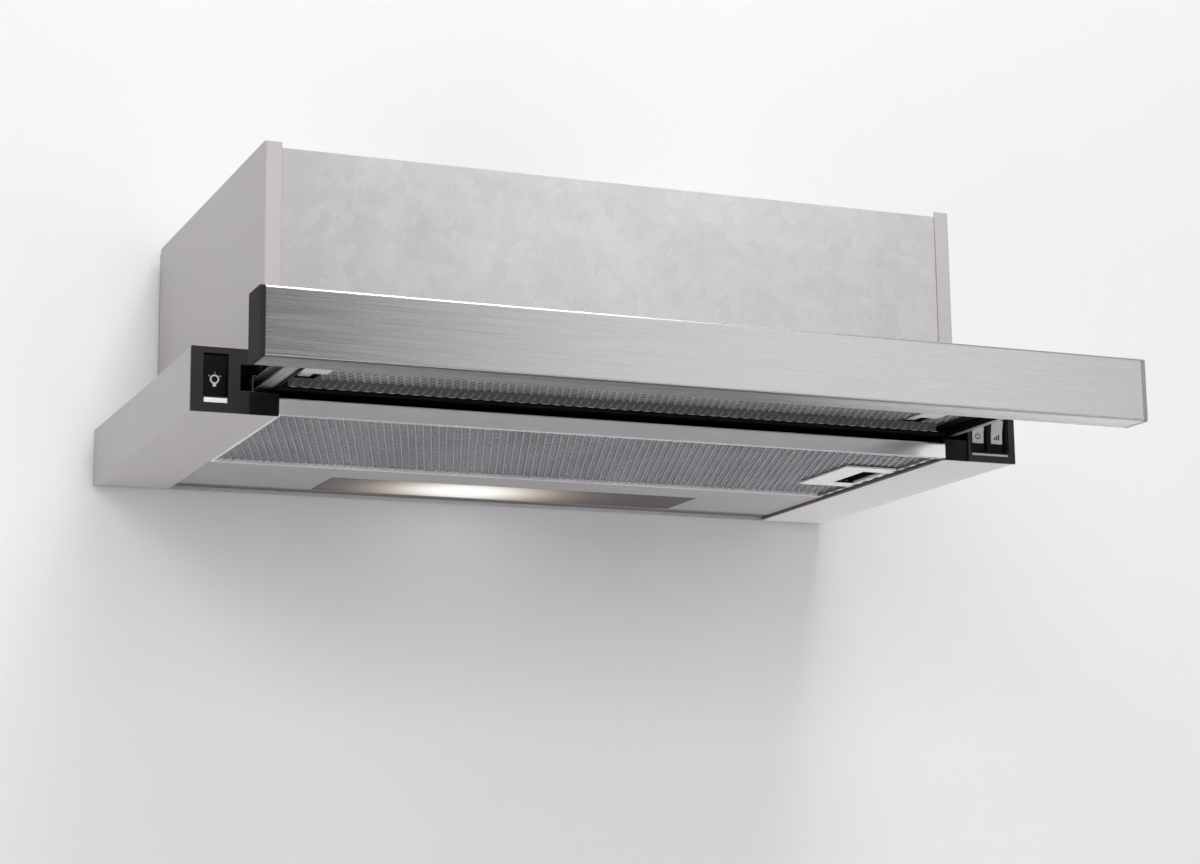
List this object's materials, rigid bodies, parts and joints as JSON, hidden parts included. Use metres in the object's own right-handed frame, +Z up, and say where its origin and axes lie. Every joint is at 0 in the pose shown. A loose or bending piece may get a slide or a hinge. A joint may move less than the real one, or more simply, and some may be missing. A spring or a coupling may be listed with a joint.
{
  "type": "pull out range hood",
  "caption": "Slim under-cabinet range hood with a pull out filter drawer on ball slides, rocker controls, a lamp, two grease filters and a round top outlet.",
  "frame": {"origin": "on the wall plane, in the middle of the width, at the level of the base's top face where the cabinet's bottom rests", "axes": "+X to the right seen from the front, +Y into the wall, +Z up; the drawer pulls out along -Y"},
  "size_m": [0.598, 0.4578, 0.2134],
  "materials": {
    "grey_paint": "satin",
    "galvanised": "spangled zinc",
    "brushed_steel": "horizontal grain",
    "black_plastic": "fine moulded grain",
    "cap_plastic": "fine moulded grain",
    "grey_cap": "satin",
    "white_plastic": "satin",
    "indicator_white": "satin",
    "filter_metal": "expanded, dull",
    "zinc_steel": "zinc plated",
    "ball_steel": "polished",
    "black_steel": "satin black",
    "lens_plastic": "frosted",
    "bulb_glass": "frosted",
    "blower_plastic": "moulded",
    "motor_metal": "cast",
    "rubber": "matt"
  },
  "bodies": {
    "hood": {"left_wing": "grey_paint", "right_wing": "grey_paint", "base_deck": "galvanised", "lamp_panel": "grey_paint", "front_fascia": "brushed_steel", "left_body_side": "grey_paint", "right_body_side": "grey_paint", "body_front": "galvanised", "body_back": "galvanised", "body_top": "galvanised", "left_control_cap": "cap_plastic", "right_control_cap": "cap_plastic", "light_switch_body": "black_plastic", "control_switch_body": "black_plastic", "light_indicator": "indicator_white", "control_indicator": "indicator_white", "slide_brackets": "zinc_steel", "left_slide_outer": "black_steel", "right_slide_outer": "black_steel", "filter_frame": "filter_metal", "filter_net": "filter_metal", "filter_latch_plate": "white_plastic", "lamp_lens": "lens_plastic", "lamp_reflector": "galvanised", "lamp_holder": "white_plastic", "lamp_bulb": "bulb_glass", "bulb_cap": "zinc_steel", "volute_left": "blower_plastic", "volute_right": "blower_plastic", "motor": "motor_metal", "outlet_collar": "black_plastic", "flap_pin": "ball_steel", "junction_box": "blower_plastic", "capacitor": "motor_metal", "cable_grommet": "rubber", "screws": "zinc_steel"},
    "drawer": {"drawer_front": "brushed_steel", "drawer_left_cap": "cap_plastic", "drawer_right_cap": "grey_cap", "left_drawer_arm": "black_steel", "right_drawer_arm": "black_steel", "arm_brackets": "black_plastic", "drawer_cover": "black_steel", "drawer_rear_bar": "black_steel", "drawer_filter_frame": "filter_metal", "drawer_filter_net": "filter_metal", "left_slide_inner": "zinc_steel", "right_slide_inner": "zinc_steel"},
    "ball_cages": {"left_ball_cage": "zinc_steel", "right_ball_cage": "zinc_steel", "bearing_balls": "ball_steel"},
    "light_rocker": {"light_rocker": "black_plastic"},
    "power_rocker": {"power_rocker": "black_plastic"},
    "speed_rocker": {"speed_rocker": "black_plastic"},
    "filter_latch": {"filter_latch": "black_plastic"},
    "left_drawer_latch": {"left_drawer_latch": "white_plastic"},
    "right_drawer_latch": {"right_drawer_latch": "white_plastic"},
    "impeller": {"impeller": "zinc_steel"},
    "left_flap": {"left_flap": "blower_plastic"},
    "right_flap": {"right_flap": "blower_plastic"}
  },
  "joints": [
    {"name": "drawer_slide", "type": "slide", "parent": "hood", "child": "drawer", "axis": [0, -1, 0], "range_m": [-0.1368, 0]},
    {"name": "cage_slide", "type": "slide", "parent": "hood", "child": "ball_cages", "axis": [0, -1, 0], "range_m": [-0.0684, 0]},
    {"name": "light_rocker_tilt", "type": "hinge", "parent": "hood", "child": "light_rocker", "pos_m": [-0.2832, -0.2894, -0.0179], "axis": [1, 0, 0], "range_deg": [-16, 0]},
    {"name": "power_rocker_tilt", "type": "hinge", "parent": "hood", "child": "power_rocker", "pos_m": [0.2709, -0.2894, -0.0195], "axis": [1, 0, 0], "range_deg": [-16, 0]},
    {"name": "speed_rocker_tilt", "type": "hinge", "parent": "hood", "child": "speed_rocker", "pos_m": [0.2862, -0.2894, -0.0195], "axis": [1, 0, 0], "range_deg": [-16, 0]},
    {"name": "filter_latch_slide", "type": "slide", "parent": "hood", "child": "filter_latch", "axis": [-1, 0, 0], "range_m": [0, 0.0042], "stiffness_N_per_m": 300, "springref_m": -0.002},
    {"name": "left_drawer_latch_slide", "type": "slide", "parent": "drawer", "child": "left_drawer_latch", "axis": [0, -1, 0], "range_m": [0, 0.0042], "stiffness_N_per_m": 300, "springref_m": -0.002},
    {"name": "right_drawer_latch_slide", "type": "slide", "parent": "drawer", "child": "right_drawer_latch", "axis": [0, -1, 0], "range_m": [0, 0.0042], "stiffness_N_per_m": 300, "springref_m": -0.002},
    {"name": "impeller_spin", "type": "hinge", "parent": "hood", "child": "impeller", "pos_m": [0, -0.146, 0.0715], "axis": [1, 0, 0], "continuous": true},
    {"name": "left_flap_lift", "type": "hinge", "parent": "hood", "child": "left_flap", "pos_m": [0, -0.111, 0.1439], "axis": [0, 1, 0], "range_deg": [0, 75]},
    {"name": "right_flap_lift", "type": "hinge", "parent": "hood", "child": "right_flap", "pos_m": [0, -0.111, 0.1439], "axis": [0, -1, 0], "range_deg": [0, 75]}
  ],
  "couplings": [
    {"joint": "cage_slide", "follows": "drawer_slide", "ratio": 0.5}
  ]
}
